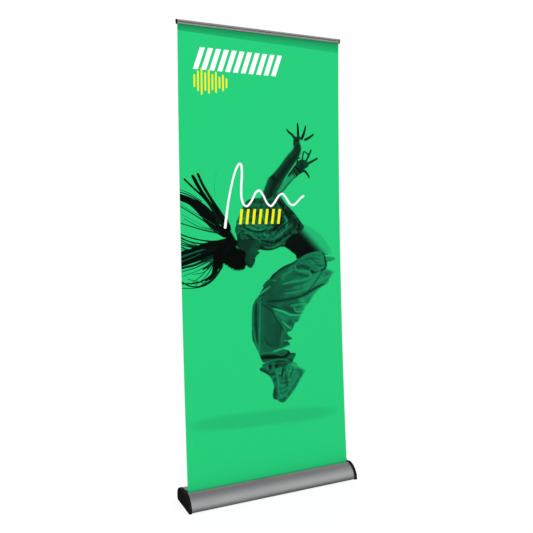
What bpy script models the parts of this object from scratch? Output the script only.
"""Roll-up banner stand: weighted cassette base with a sprung roller, a three-section
telescopic pole and a snap rail that holds a printed sheet 800 mm wide and 2000 mm high.

Frame: +X to the right of somebody facing the print, the print faces -Y, +Z up, origin on the
floor under the middle of the stand's outer box. The constants are in millimetres. Section
coordinates (y, z) count y backwards from the slot where the print leaves the base, and
SLOT_Y places that slot in the frame."""

import math

import bmesh
import bpy
from mathutils import Matrix, Vector

MM = 0.001

# ---------------------------------------------------------------- driving dimensions (mm)
SLOT_Y = -30.3            # frame y of the slot, so that the outer box is centred on the origin
GRAPHIC_W = 800.0         # printed sheet, width
FILM = 0.4                # thickness of the print and of its leader
SLOT_Z = 63.7             # height at which the print leaves the base
RAIL_Z = 2069.5           # underside of the top rail
PRINT_TOP_Z = 2077.0      # upper edge of the print, inside the rail
PRINT_LEAN = 99.3         # how far the print's top stands behind the slot
PRINT_BOW = 0.93          # share of that lean which the print takes up as a bow near the base

BASE_HALF = 403.0         # half length of the two base extrusions
CAP_HALF = 417.0          # half length over the end caps
BASE_BOTTOM = 3.5         # extrusions' clearance to the floor
BASE_TOP = 66.5
WALL = 2.0
FRONT_R = 65.0            # radius of the curved front cover
REAR_Y = 98.0             # back of the base
CAP_BOTTOM = 1.0
GAP = 0.3                 # clearance between touching pieces

ROLLER_Y, ROLLER_Z = 18.5, 32.0
ROLLER_R = 16.0
ROLL_R = 18.2             # roller with its wound leader
AXLE_R = 4.0

POLE_Y, POLE_Z = 70.0, 25.0        # foot of the pole's axis
POLE_TOP_Y, POLE_TOP_Z = 120.0, 2075.0
LOWER_R, MIDDLE_R, UPPER_R = 12.5, 10.0, 7.5
TUBE_WALL = 1.2
LOWER_S = (3.0, 720.0)             # tube ends along the pole's axis
MIDDLE_S = (645.0, 1360.0)
UPPER_S = (1285.0, 2035.0)
COLLAR_H = 32.0

RAIL_HALF = 400.5
HINGE_Y, HINGE_Z = 100.0, 2082.5   # axis of the snap rail's jaw
JAW_R, CORE_R = 6.5, 4.7
JAW_WALL = 1.5

PORTS_REAR = ((92.0, 22.0), (34.0, 60.2), (-38.0, 9.8))     # screw ports of the main extrusion
PORT_FRONT = (-51.1, 30.5)                                  # and of the front cover

TILT = math.atan2(POLE_TOP_Y - POLE_Y, POLE_TOP_Z - POLE_Z)

# ---------------------------------------------------------------- scene, collections, materials
for old in list(bpy.data.objects):
    bpy.data.objects.remove(old, do_unlink=True)

STAND = bpy.data.collections.new("roll_up_banner_stand")
CUTTERS = bpy.data.collections.new("cutters")
for collection in (STAND, CUTTERS):
    bpy.context.scene.collection.children.link(collection)


def principled(name, colour, roughness, metallic=0.0):
    made = bpy.data.materials.new(name)
    made.use_nodes = True
    shader = made.node_tree.nodes["Principled BSDF"]
    shader.inputs["Base Color"].default_value = (*colour, 1.0)
    shader.inputs["Roughness"].default_value = roughness
    shader.inputs["Metallic"].default_value = metallic
    return made


SILVER = principled("anodised_aluminium", (0.55, 0.56, 0.56), 0.38, 1.0)
BLACK = principled("black_plastic", (0.008, 0.008, 0.009), 0.4)
NYLON = principled("grey_nylon", (0.35, 0.35, 0.34), 0.5)
RUBBER = principled("black_rubber", (0.012, 0.012, 0.012), 0.8)
STEEL = principled("steel", (0.45, 0.45, 0.46), 0.3, 1.0)
DARK_STEEL = principled("black_oxide_steel", (0.03, 0.03, 0.03), 0.4, 1.0)
PRINT = principled("printed_film", (0.018, 0.62, 0.2), 0.45)
LEADER = principled("grey_leader_film", (0.3, 0.31, 0.32), 0.5)


# ---------------------------------------------------------------- modelling helpers
def at(x, y, z):
    """Section millimetres to frame metres."""
    return Vector((x, y + SLOT_Y, z)) * MM


def finish(obj, material, collection=STAND):
    obj.data.materials.clear()
    obj.data.materials.append(material)
    if collection is CUTTERS:
        obj.hide_render = True
        obj.display_type = "WIRE"
    else:
        obj.data.shade_smooth()
        obj.data.set_sharp_from_angle(angle=math.radians(35))
    return obj


def clean(mesh):
    work = bmesh.new()
    work.from_mesh(mesh)
    bmesh.ops.remove_doubles(work, verts=work.verts, dist=2e-6)
    bmesh.ops.recalc_face_normals(work, faces=work.faces)
    work.to_mesh(mesh)
    work.free()


def extruded(name, loops, x0, x1, material, collection=STAND):
    """A flat outline in the (y, z) section, with any further loops as its holes, drawn along X."""
    outline = bpy.data.curves.new(name, "CURVE")
    outline.dimensions = "2D"
    outline.fill_mode = "BOTH"
    outline.extrude = abs(x1 - x0) / 2 * MM
    for loop in loops:
        spline = outline.splines.new("POLY")
        spline.points.add(len(loop) - 1)
        for point, (y, z) in zip(spline.points, loop):
            point.co = (y * MM, z * MM, 0.0, 1.0)
        spline.use_cyclic_u = True
    guide = bpy.data.objects.new(name + "_outline", outline)
    guide.rotation_euler = (math.pi / 2, 0.0, math.pi / 2)
    guide.location = ((x0 + x1) / 2 * MM, SLOT_Y * MM, 0.0)
    collection.objects.link(guide)
    bpy.context.view_layer.update()
    graph = bpy.context.evaluated_depsgraph_get()
    mesh = bpy.data.meshes.new_from_object(guide.evaluated_get(graph))
    clean(mesh)
    mesh.name = name
    obj = bpy.data.objects.new(name, mesh)
    obj.matrix_world = guide.matrix_world.copy()
    bpy.data.objects.remove(guide, do_unlink=True)
    collection.objects.link(obj)
    return finish(obj, material, collection)


def turned(name, profile, steps, material, parent=None, matrix=None, collection=STAND):
    """A profile of (radius, height) points in mm, turned about local Z. A loop runs down its
    outer side first; an open profile starts and ends on the axis."""
    closed = profile[0][0] > 0 or profile[-1][0] > 0
    mesh = bpy.data.meshes.new(name)
    edges = [(i, i + 1) for i in range(len(profile) - 1)]
    if closed:
        edges.append((len(profile) - 1, 0))
    mesh.from_pydata([(r * MM, 0.0, z * MM) for r, z in profile], edges, [])
    obj = bpy.data.objects.new(name, mesh)
    collection.objects.link(obj)
    screw = obj.modifiers.new("turn", "SCREW")
    screw.axis = "Z"
    screw.angle = 2 * math.pi
    screw.steps = screw.render_steps = steps
    screw.use_merge_vertices = not closed
    screw.merge_threshold = 0.00001
    screw.use_smooth_shade = True
    if parent is not None:
        obj.parent = parent
    if matrix is not None:
        obj.matrix_local = matrix
    return finish(obj, material, collection)


def cylinder(name, radius, start, end, steps, material=None, collection=CUTTERS):
    """A plain cylinder between two section points."""
    start, end = at(*start), at(*end)
    mesh = bpy.data.meshes.new(name)
    work = bmesh.new()
    bmesh.ops.create_cone(
        work, cap_ends=True, segments=steps, radius1=radius * MM, radius2=radius * MM,
        depth=(end - start).length)
    work.to_mesh(mesh)
    work.free()
    obj = bpy.data.objects.new(name, mesh)
    obj.matrix_world = Matrix.Translation((start + end) / 2) @ (
        Vector((0, 0, 1)).rotation_difference(end - start).to_matrix().to_4x4())
    collection.objects.link(obj)
    return finish(obj, material or BLACK, collection)


def block(name, low, high, material=None, collection=CUTTERS):
    """A box between two section corners."""
    low, high = at(*low), at(*high)
    mesh = bpy.data.meshes.new(name)
    work = bmesh.new()
    bmesh.ops.create_cube(work, size=1.0, matrix=Matrix.Diagonal((*(high - low), 1.0)))
    work.to_mesh(mesh)
    work.free()
    obj = bpy.data.objects.new(name, mesh)
    obj.location = (low + high) / 2
    collection.objects.link(obj)
    return finish(obj, material or BLACK, collection)


def boolean(obj, operation, *others):
    for other in others:
        modifier = obj.modifiers.new(operation.lower() + "_" + other.name, "BOOLEAN")
        modifier.operation = operation
        modifier.object = other
        modifier.solver = "EXACT"


def bevel(obj, width, segments=2, angle=40.0):
    modifier = obj.modifiers.new("round", "BEVEL")
    modifier.width = width * MM
    modifier.segments = segments
    modifier.limit_method = "ANGLE"
    modifier.angle_limit = math.radians(angle)
    modifier.harden_normals = False
    return modifier


def arc(cy, cz, r, start, end, count, rz=None):
    """Points on a circle, or an ellipse with its own height rz, from one angle to another."""
    rz = r if rz is None else rz
    return [
        (cy + r * math.cos(math.radians(start + (end - start) * i / (count - 1))),
         cz + rz * math.sin(math.radians(start + (end - start) * i / (count - 1))))
        for i in range(count)]


def shoulder(cy, cz, a, b, count, power=2.2):
    """The base's rounded back: a superellipse's quarter from (cy + a, cz) up to (cy, cz + b)."""
    points = []
    for i in range(count):
        angle = math.pi / 2 * i / (count - 1)
        points.append((cy + a * abs(math.cos(angle)) ** (2 / power),
                       cz + b * abs(math.sin(angle)) ** (2 / power)))
    return points


def print_line(share):
    """Centre line of the print from the slot, share 0, to the rail's underside, share 1."""
    bowed = 1 - (1 - share) ** 2
    return (PRINT_LEAN * ((1 - PRINT_BOW) * share + PRINT_BOW * bowed),
            SLOT_Z + share * (RAIL_Z - SLOT_Z))


def turned_at(name, profile, steps, material, point, direction, collection=STAND):
    """A turned piece whose local Z runs along a direction of the frame, from a section point."""
    matrix = Matrix.Translation(at(*point)) @ (
        Vector((0, 0, 1)).rotation_difference(Vector(direction)).to_matrix().to_4x4())
    obj = turned(name, profile, steps, material, collection=collection)
    obj.matrix_world = matrix
    return obj


def guide_empty(name, point, rotation=(0.0, 0.0, 0.0)):
    empty = bpy.data.objects.new(name, None)
    empty.empty_display_size = 0.05
    empty.location = at(*point)
    empty.rotation_euler = rotation
    STAND.objects.link(empty)
    return empty


# ---------------------------------------------------------------- base: the two extrusions
rear_y0 = 40.0
rear_outline = (
    [(-49.5, BASE_BOTTOM)]
    + arc(88.0, BASE_BOTTOM + 10, 10.0, -90, 0, 5)
    + shoulder(rear_y0, 25.0, REAR_Y - rear_y0, BASE_TOP - 25.0, 13)
    + [(28.2, BASE_TOP), (27.0, BASE_TOP - 1.2), (27.0, 57.0), (27.0 + WALL, 57.0),
       (27.0 + WALL, BASE_TOP - WALL)]
    + shoulder(rear_y0, 25.0, REAR_Y - rear_y0 - WALL, BASE_TOP - 25.0 - WALL, 13)[::-1]
    + arc(88.0, BASE_BOTTOM + 10, 8.0, 0, -90, 5)
    + [(-47.5, BASE_BOTTOM + WALL), (-47.5, 8.0), (-58.0, 8.0), (-58.0, 6.0), (-49.5, 6.0)])
rear_housing = extruded("rear_housing", [rear_outline], -BASE_HALF, BASE_HALF, SILVER)

front_low = 180 - math.degrees(math.asin((BASE_BOTTOM - 1.0) / FRONT_R))
front_low_in = 180 - math.degrees(math.asin((BASE_BOTTOM + WALL - 1.0) / (FRONT_R - WALL)))
front_outline = (
    arc(0.0, 1.0, FRONT_R, front_low, 95.3, 17)
    + [(-4.7, 65.8), (-4.0, 65.2), (-4.0, 52.0), (-6.0, 52.0)]
    + arc(0.0, 1.0, FRONT_R - WALL, 95.5, front_low_in, 17)
    + [(-50.0, BASE_BOTTOM + WALL), (-50.0, BASE_BOTTOM)])
front_cover = extruded("front_cover", [front_outline], -BASE_HALF, BASE_HALF, SILVER)

for index, (y, z) in enumerate(PORTS_REAR):
    boolean(rear_housing, "UNION",
            cylinder(f"port_{index}", 4.5, (-BASE_HALF, y, z), (BASE_HALF, y, z), 12))
boolean(front_cover, "UNION",
        cylinder("port_front", 4.5, (-BASE_HALF, *PORT_FRONT), (BASE_HALF, *PORT_FRONT), 12))
for index, (y, z) in enumerate(PORTS_REAR):
    boolean(rear_housing, "DIFFERENCE",
            cylinder(f"port_hole_{index}", 2.1, (-430, y, z), (430, y, z), 8))
boolean(front_cover, "DIFFERENCE",
        cylinder("port_hole_front", 2.1, (-430, *PORT_FRONT), (430, *PORT_FRONT), 8))


def on_pole(s, x=0.0):
    """A section point on the pole's axis, s millimetres from its foot."""
    return (x, POLE_Y + s * math.sin(TILT), POLE_Z + s * math.cos(TILT))


boolean(rear_housing, "DIFFERENCE", cylinder("socket_opening", 16.6, on_pole(16), on_pole(70), 32))
for side, x in (("left", -18.8), ("right", 18.8)):
    boolean(rear_housing, "DIFFERENCE",
            cylinder(f"socket_hole_{side}", 2.2, (x, POLE_Y, 0.0), (x, POLE_Y, 7.0), 10))

# the plastic edge strip that keeps the print off the front cover's lip
slot_strip = extruded(
    "slot_edge_strip", [[(-3.7, 52.5), (-1.3, 52.5), (-1.3, 64.0), (-1.9, 65.0), (-3.1, 65.0),
                         (-3.7, 64.0)]], -GRAPHIC_W / 2, GRAPHIC_W / 2, BLACK)

# ---------------------------------------------------------------- base: end caps and what is in them
cap_outline = (
    [(-66.5, CAP_BOTTOM)]
    + arc(0.0, 1.0, 68.0, 178, 93.0, 16, rz=68.2)
    + [(-2.2, 68.8), (-0.8, 65.5), (24.0, 65.5), (25.5, BASE_TOP + 1.6), (26.5, BASE_TOP + 2.2)]
    + shoulder(rear_y0, 25.0, REAR_Y - rear_y0 + 1.0, BASE_TOP - 25.0 + 2.2, 12)[::-1]
    + arc(87.0, CAP_BOTTOM + 12, 12.0, 0, -90, 5))
pocket_outline = (
    [(-61.5, 5.0)]
    + arc(0.0, 1.0, 64.5, 176, 96.0, 9, rz=62.4)
    + [(-4.5, 55.5), (27.0, 55.5), (28.5, BASE_TOP - 2.6)]
    + shoulder(rear_y0, 25.0, REAR_Y - rear_y0 - 2.6, BASE_TOP - 25.0 - 2.6, 7)[::-1]
    + arc(86.0, 5.0 + 9.0, 9.0, 0, -90, 4))
SCREWS = PORTS_REAR + (PORT_FRONT,)
PADS = ((-60.0, -36.0), (62.0, 86.0))

for side, sign in (("left", -1.0), ("right", 1.0)):
    cap = extruded(f"end_cap_{side}", [cap_outline], sign * (BASE_HALF + GAP), sign * CAP_HALF,
                   BLACK)
    # only the rim on the outer face is rounded: the inner face meets the extrusions square
    work = bmesh.new()
    work.from_mesh(cap.data)
    face = max(v.co.z * sign for v in work.verts)
    rim = [e for e in work.edges if len(e.link_faces) == 2
           and all(abs(v.co.z * sign - face) < 1e-5 for v in e.verts)
           and e.calc_face_angle(0.0) > 1.0]
    bmesh.ops.bevel(work, geom=rim, offset=2.4 * MM, segments=2, profile=0.5, affect="EDGES")
    bmesh.ops.recalc_face_normals(work, faces=work.faces)
    work.to_mesh(cap.data)
    work.free()
    finish(cap, BLACK)
    boolean(cap, "DIFFERENCE", extruded(f"pocket_{side}", [pocket_outline], sign * 400.0,
                                        sign * (CAP_HALF - 3.0), BLACK, CUTTERS))
    for index, (y, z) in enumerate(SCREWS):
        boolean(cap, "UNION", cylinder(f"boss_{side}_{index}", 5.2, (sign * (BASE_HALF + 0.6), y, z),
                                       (sign * (CAP_HALF - 1.5), y, z), 12))
    boolean(cap, "UNION", cylinder(f"axle_boss_{side}", 9.0,
                                   (sign * (BASE_HALF + 0.6), ROLLER_Y, ROLLER_Z),
                                   (sign * (CAP_HALF - 1.5), ROLLER_Y, ROLLER_Z), 20))
    for index, (y, z) in enumerate(SCREWS):
        boolean(cap, "DIFFERENCE",
                cylinder(f"hole_{side}_{index}", 2.1, (sign * 400, y, z), (sign * 420, y, z), 8),
                cylinder(f"recess_{side}_{index}", 4.2, (sign * (CAP_HALF - 2.5), y, z),
                         (sign * 420, y, z), 14))
    boolean(cap, "DIFFERENCE", cylinder(f"axle_hole_{side}", AXLE_R + GAP,
                                        (sign * 400, ROLLER_Y, ROLLER_Z),
                                        (sign * (CAP_HALF - 4.0), ROLLER_Y, ROLLER_Z), 16))
    for end, (y0, y1) in zip(("front", "rear"), PADS):
        low, high = sorted((sign * 405.0, sign * 414.6))
        boolean(cap, "DIFFERENCE",
                block(f"pad_recess_{side}_{end}", (low, y0 - 0.4, -2.0), (high, y1 + 0.4, 2.6)))
        low, high = sorted((sign * 405.4, sign * 414.2))
        pad = block(f"foot_pad_{end}_{side}", (low, y0, 0.0), (high, y1, 2.2), RUBBER, STAND)
        bevel(pad, 0.6, 1)
    for index, (y, z) in enumerate(SCREWS):
        turned_at(f"end_cap_screw_{side}_{index + 1}",
                  [(0.0, 1.1), (1.6, 1.1), (1.6, 2.0), (2.8, 1.8), (3.6, 1.0), (3.6, 0.0),
                   (1.75, 0.0), (1.75, -22.0), (0.0, -22.8)],
                  8, DARK_STEEL, (sign * (CAP_HALF - 2.5 + GAP), y, z), (sign, 0, 0))

# ---------------------------------------------------------------- roller, its spring and axles
roller_axis = guide_empty("roller_axis", (0.0, ROLLER_Y, ROLLER_Z), (0.0, math.pi / 2, 0.0))
turned("roller_tube", [(ROLLER_R, 396), (ROLLER_R, -396), (ROLLER_R - 1.4, -396),
                       (ROLLER_R - 1.4, 396)], 20, SILVER, parent=roller_axis)
turned("wound_leader", [(ROLL_R, 400), (ROLL_R, -400), (ROLLER_R + GAP, -400),
                        (ROLLER_R + GAP, 400)], 24, LEADER, parent=roller_axis)
for side, flip in (("left", Matrix.Rotation(math.pi, 4, "X")), ("right", Matrix.Identity(4))):
    turned(f"roller_plug_{side}",
           [(16.0, 399.4), (16.0, 396.3), (14.3, 396.3), (14.3, 381.0), (AXLE_R + 0.4, 381.0),
            (AXLE_R + 0.4, 399.4)], 16, NYLON, parent=roller_axis, matrix=flip)
    turned(f"thrust_washer_{side}",
           [(8.0, 402.6), (8.0, 400.4), (AXLE_R + 0.4, 400.4), (AXLE_R + 0.4, 402.6)], 16, NYLON,
           parent=roller_axis, matrix=flip)
turned("spring_shaft", [(0.0, -150.0), (3.4, -150.0), (AXLE_R, -150.8), (AXLE_R, -411.6),
                        (3.4, -412.4), (0.0, -412.4)], 16, STEEL, parent=roller_axis)
turned("idler_axle", [(0.0, 412.4), (3.4, 412.4), (AXLE_R, 411.6), (AXLE_R, 377.8),
                      (3.4, 377.0), (0.0, 377.0)], 16, STEEL, parent=roller_axis)
turned("spring_anchor", [(11.0, -156.0), (11.0, -168.0), (AXLE_R + GAP, -168.0),
                         (AXLE_R + GAP, -156.0)], 20, NYLON, parent=roller_axis)

coil = bpy.data.curves.new("torsion_spring", "CURVE")
coil.dimensions = "3D"
coil.bevel_depth = 0.9 * MM
coil.bevel_resolution = 0
coil.use_fill_caps = True
TURNS, PER_TURN = 12, 8
coil_points = []
for i in range(TURNS * PER_TURN + 1):
    angle = 2 * math.pi * i / PER_TURN
    coil_points.append((8.0 * math.cos(angle), 8.0 * math.sin(angle),
                        -376.0 + 204.0 * i / (TURNS * PER_TURN)))
spline = coil.splines.new("POLY")
spline.points.add(len(coil_points) - 1)
for point, co in zip(spline.points, coil_points):
    point.co = (co[0] * MM, co[1] * MM, co[2] * MM, 1.0)
spring = bpy.data.objects.new("torsion_spring", coil)
coil.materials.append(STEEL)
STAND.objects.link(spring)
spring.parent = roller_axis

# ---------------------------------------------------------------- pole socket and telescopic pole
pole_axis = guide_empty("pole_axis", on_pole(0.0), (-TILT, 0.0, 0.0))
socket = turned("pole_socket",
                [(15.0, 47.5), (16.0, 46.5), (16.0, -13.5), (22.0, -13.5), (22.0, -18.0),
                 (9.0, -18.0), (9.0, -0.6), (LOWER_R + 0.5, -0.6), (LOWER_R + 0.5, 46.8),
                 (LOWER_R + 1.2, 47.5)],
                24, BLACK, parent=pole_axis)
for side, x in (("left", -18.8), ("right", 18.8)):
    boolean(socket, "DIFFERENCE",
            cylinder(f"flange_hole_{side}", 2.1, (x, POLE_Y, 0.0), (x, POLE_Y, 16.0), 10))
    turned_at(f"socket_screw_{side}",
              [(0.0, 7.6), (1.0, 7.6), (1.7, 6.8), (1.7, 0.0), (3.6, 0.0), (3.6, -1.0),
               (2.8, -1.9), (0.0, -1.9)], 12, DARK_STEEL, (x, POLE_Y, BASE_BOTTOM - GAP), (0, 0, 1))

turned("pole_foot_plug", [(0.0, 9.0), (LOWER_R - TUBE_WALL - GAP, 9.0),
                          (LOWER_R - TUBE_WALL - GAP, 2.7), (LOWER_R, 2.7), (LOWER_R, 0.8),
                          (LOWER_R - 0.8, 0.0), (0.0, 0.0)], 24, BLACK, parent=pole_axis)


def pole_tube(name, radius, span):
    return turned(name, [(radius, span[1]), (radius, span[0]), (radius - TUBE_WALL, span[0]),
                         (radius - TUBE_WALL, span[1])], 24, SILVER, parent=pole_axis)


pole_tube("pole_lower", LOWER_R, LOWER_S)
pole_tube("pole_middle", MIDDLE_R, MIDDLE_S)
pole_tube("pole_upper", UPPER_R, UPPER_S)


def collar(name, tube_r, inner_r, top, outer):
    """A twist-lock nut round the top of one tube, closing on the tube that slides in it."""
    base = top - 20.0
    return turned(name, [
        (inner_r + 2.2, base + COLLAR_H), (outer - 0.6, base + COLLAR_H - 6.0),
        (outer, base + COLLAR_H - 8.0), (outer, base + 3.0), (outer - 1.2, base),
        (tube_r + GAP, base), (tube_r + GAP, top + GAP), (inner_r + 0.4, top + GAP),
        (inner_r + 0.4, base + COLLAR_H)], 20, BLACK, parent=pole_axis)


collar("lock_collar_lower", LOWER_R, MIDDLE_R, LOWER_S[1], 16.0)
collar("lock_collar_upper", MIDDLE_R, UPPER_R, MIDDLE_S[1], 13.2)


def glide(name, tube_r, outer_tube_r, bottom):
    """The plastic plug under an inner tube that keeps it centred in the outer one."""
    bore = tube_r - TUBE_WALL
    return turned(name, [
        (0.0, bottom + 10.0), (bore - GAP, bottom + 10.0), (bore - GAP, bottom - GAP),
        (outer_tube_r - TUBE_WALL - GAP, bottom - GAP), (outer_tube_r - TUBE_WALL - GAP, bottom - 12.0),
        (outer_tube_r - TUBE_WALL - 1.0, bottom - 13.0), (0.0, bottom - 13.0)], 16, NYLON,
        parent=pole_axis)


glide("pole_middle_glide", MIDDLE_R, LOWER_R, MIDDLE_S[0])
glide("pole_upper_glide", UPPER_R, MIDDLE_R, UPPER_S[0])
top_s = UPPER_S[1]
turned("pole_tip", [(0.0, top_s + 21.0), (3.9, top_s + 21.0), (5.5, top_s + 19.0),
                    (5.5, top_s + 6.0), (8.4, top_s + 6.0), (8.8, top_s + 5.4),
                    (8.8, top_s + GAP), (UPPER_R - TUBE_WALL - GAP, top_s + GAP),
                    (UPPER_R - TUBE_WALL - GAP, top_s - 17.0), (0.0, top_s - 17.0)], 20, BLACK,
       parent=pole_axis)

# ---------------------------------------------------------------- top rail
PLATE_FRONT, PLATE_BACK = 99.9, 102.2
JAW_FRONT, JAW_BACK = 95.8, 97.6


def angle_at(radius, y, below=True):
    """Angle on a circle about the hinge where it reaches section depth y, on its lower half."""
    found = math.degrees(math.acos((y - HINGE_Y) / radius))
    return 360.0 - found if below else found


back_outline = (
    arc(HINGE_Y, HINGE_Z, CORE_R, angle_at(CORE_R, PLATE_BACK) - 360.0,
        angle_at(CORE_R, PLATE_FRONT), 21)
    + [(PLATE_FRONT, RAIL_Z + 0.4), (PLATE_FRONT + 0.4, RAIL_Z), (PLATE_BACK - 0.4, RAIL_Z),
       (PLATE_BACK, RAIL_Z + 0.4)])
core_hole = arc(HINGE_Y, HINGE_Z, 3.2, 345, 0, 12)
rail_back = extruded("rail_back", [back_outline, core_hole], -RAIL_HALF, RAIL_HALF, SILVER)

jaw_outline = (
    arc(HINGE_Y, HINGE_Z, JAW_R, 40.0, angle_at(JAW_R, JAW_FRONT), 19)
    + [(JAW_FRONT, RAIL_Z + 0.5), (JAW_FRONT + 0.5, RAIL_Z), (JAW_BACK - 0.4, RAIL_Z),
       (JAW_BACK, RAIL_Z + 0.4)]
    + arc(HINGE_Y, HINGE_Z, JAW_R - JAW_WALL, angle_at(JAW_R - JAW_WALL, JAW_BACK), 40.0, 19))
jaw = extruded("rail_front_jaw", [jaw_outline], -RAIL_HALF, RAIL_HALF, SILVER)
strip = extruded("rail_grip_strip", [[
    (JAW_BACK + GAP, RAIL_Z + 0.8), (98.75, RAIL_Z + 0.8), (98.75, RAIL_Z + 6.4),
    (JAW_BACK + GAP, RAIL_Z + 6.4)]], -RAIL_HALF, RAIL_HALF, RUBBER)
hinge_origin = at(0.0, HINGE_Y, HINGE_Z)
for piece in (jaw, strip):
    shift = piece.matrix_world.inverted() @ hinge_origin
    piece.data.transform(Matrix.Translation(-shift))
    piece.matrix_world = Matrix.Translation(hinge_origin) @ piece.matrix_world.to_3x3().to_4x4()

KNOB_R = 7.2
tab = (
    arc(HINGE_Y, HINGE_Z, 6.9, angle_at(6.9, 103.2) - 360.0, angle_at(6.9, 94.2), 17)
    + [(94.2, RAIL_Z - 0.2), (94.9, RAIL_Z - 1.0), (102.5, RAIL_Z - 1.0), (103.2, RAIL_Z - 0.2)])
for side, sign in (("left", -1.0), ("right", 1.0)):
    cap = extruded(f"rail_end_cap_{side}", [tab], sign * (RAIL_HALF + GAP), sign * (RAIL_HALF + 5.1),
                   BLACK)
    knob = turned_at(f"knob_{side}", [(0.0, 4.6), (2.8, 4.4), (4.8, 3.8), (6.2, 2.9), (KNOB_R, 1.5),
                                      (KNOB_R, 0.0), (0.0, 0.0)], 24, BLACK,
                     (sign * (RAIL_HALF + 2.6), HINGE_Y, HINGE_Z), (sign, 0, 0), CUTTERS)
    peg = cylinder(f"peg_{side}", 2.8, (sign * (RAIL_HALF - 9.0), HINGE_Y, HINGE_Z),
                   (sign * (RAIL_HALF + 1.5), HINGE_Y, HINGE_Z), 12)
    boolean(cap, "UNION", knob, peg)

clip = extruded("rail_pole_clip", [[
    (102.5, 2066.2), (102.5, 2075.6), (103.2, 2076.2), (107.2, 2076.2), (109.6, 2084.6),
    (111.4, 2086.6), (126.4, 2086.6), (128.0, 2085.0), (128.0, 2067.2), (127.0, 2066.2)]],
    -16.0, 16.0, BLACK)
boolean(clip, "UNION", block("clip_ears", (-32.0, 102.5, 2066.8), (32.0, 105.6, 2075.4)))
boolean(clip, "DIFFERENCE", cylinder("tip_bore", 6.0, on_pole(2030.0), on_pole(2058.0), 24))
for side, x in (("left", -25.0), ("right", 25.0)):
    cutter = cylinder(f"clip_hole_{side}", 1.9, (x, 98.0, 2071.5), (x, 108.0, 2071.5), 10)
    boolean(clip, "DIFFERENCE", cutter)
    boolean(rail_back, "DIFFERENCE", cutter)
    turned_at(f"clip_screw_{side}",
              [(0.0, 1.6), (1.9, 1.5), (2.9, 0.9), (2.9, 0.0), (1.5, 0.0), (1.5, -5.4),
               (0.0, -5.4)], 12, DARK_STEEL, (x, 105.6 + GAP, 2071.5), (0, 1, 0))

# ---------------------------------------------------------------- the print and its leader
line = [(-0.2, 46.0), (-0.1, 55.0), (0.0, 61.5)]
line += [print_line(i / 28) for i in range(0, 29)]
line += [(PRINT_LEAN, PRINT_TOP_Z)]
sheet_outline = [(y - FILM / 2, z) for y, z in line] + [(y + FILM / 2, z) for y, z in line[::-1]]
banner = extruded("banner_graphic", [sheet_outline], -GRAPHIC_W / 2, GRAPHIC_W / 2, PRINT)
extruded("leader_film", [[(-FILM, 33.0), (0.0, 33.0), (0.0, 45.6), (-FILM, 45.6)]],
         -GRAPHIC_W / 2, GRAPHIC_W / 2, LEADER)
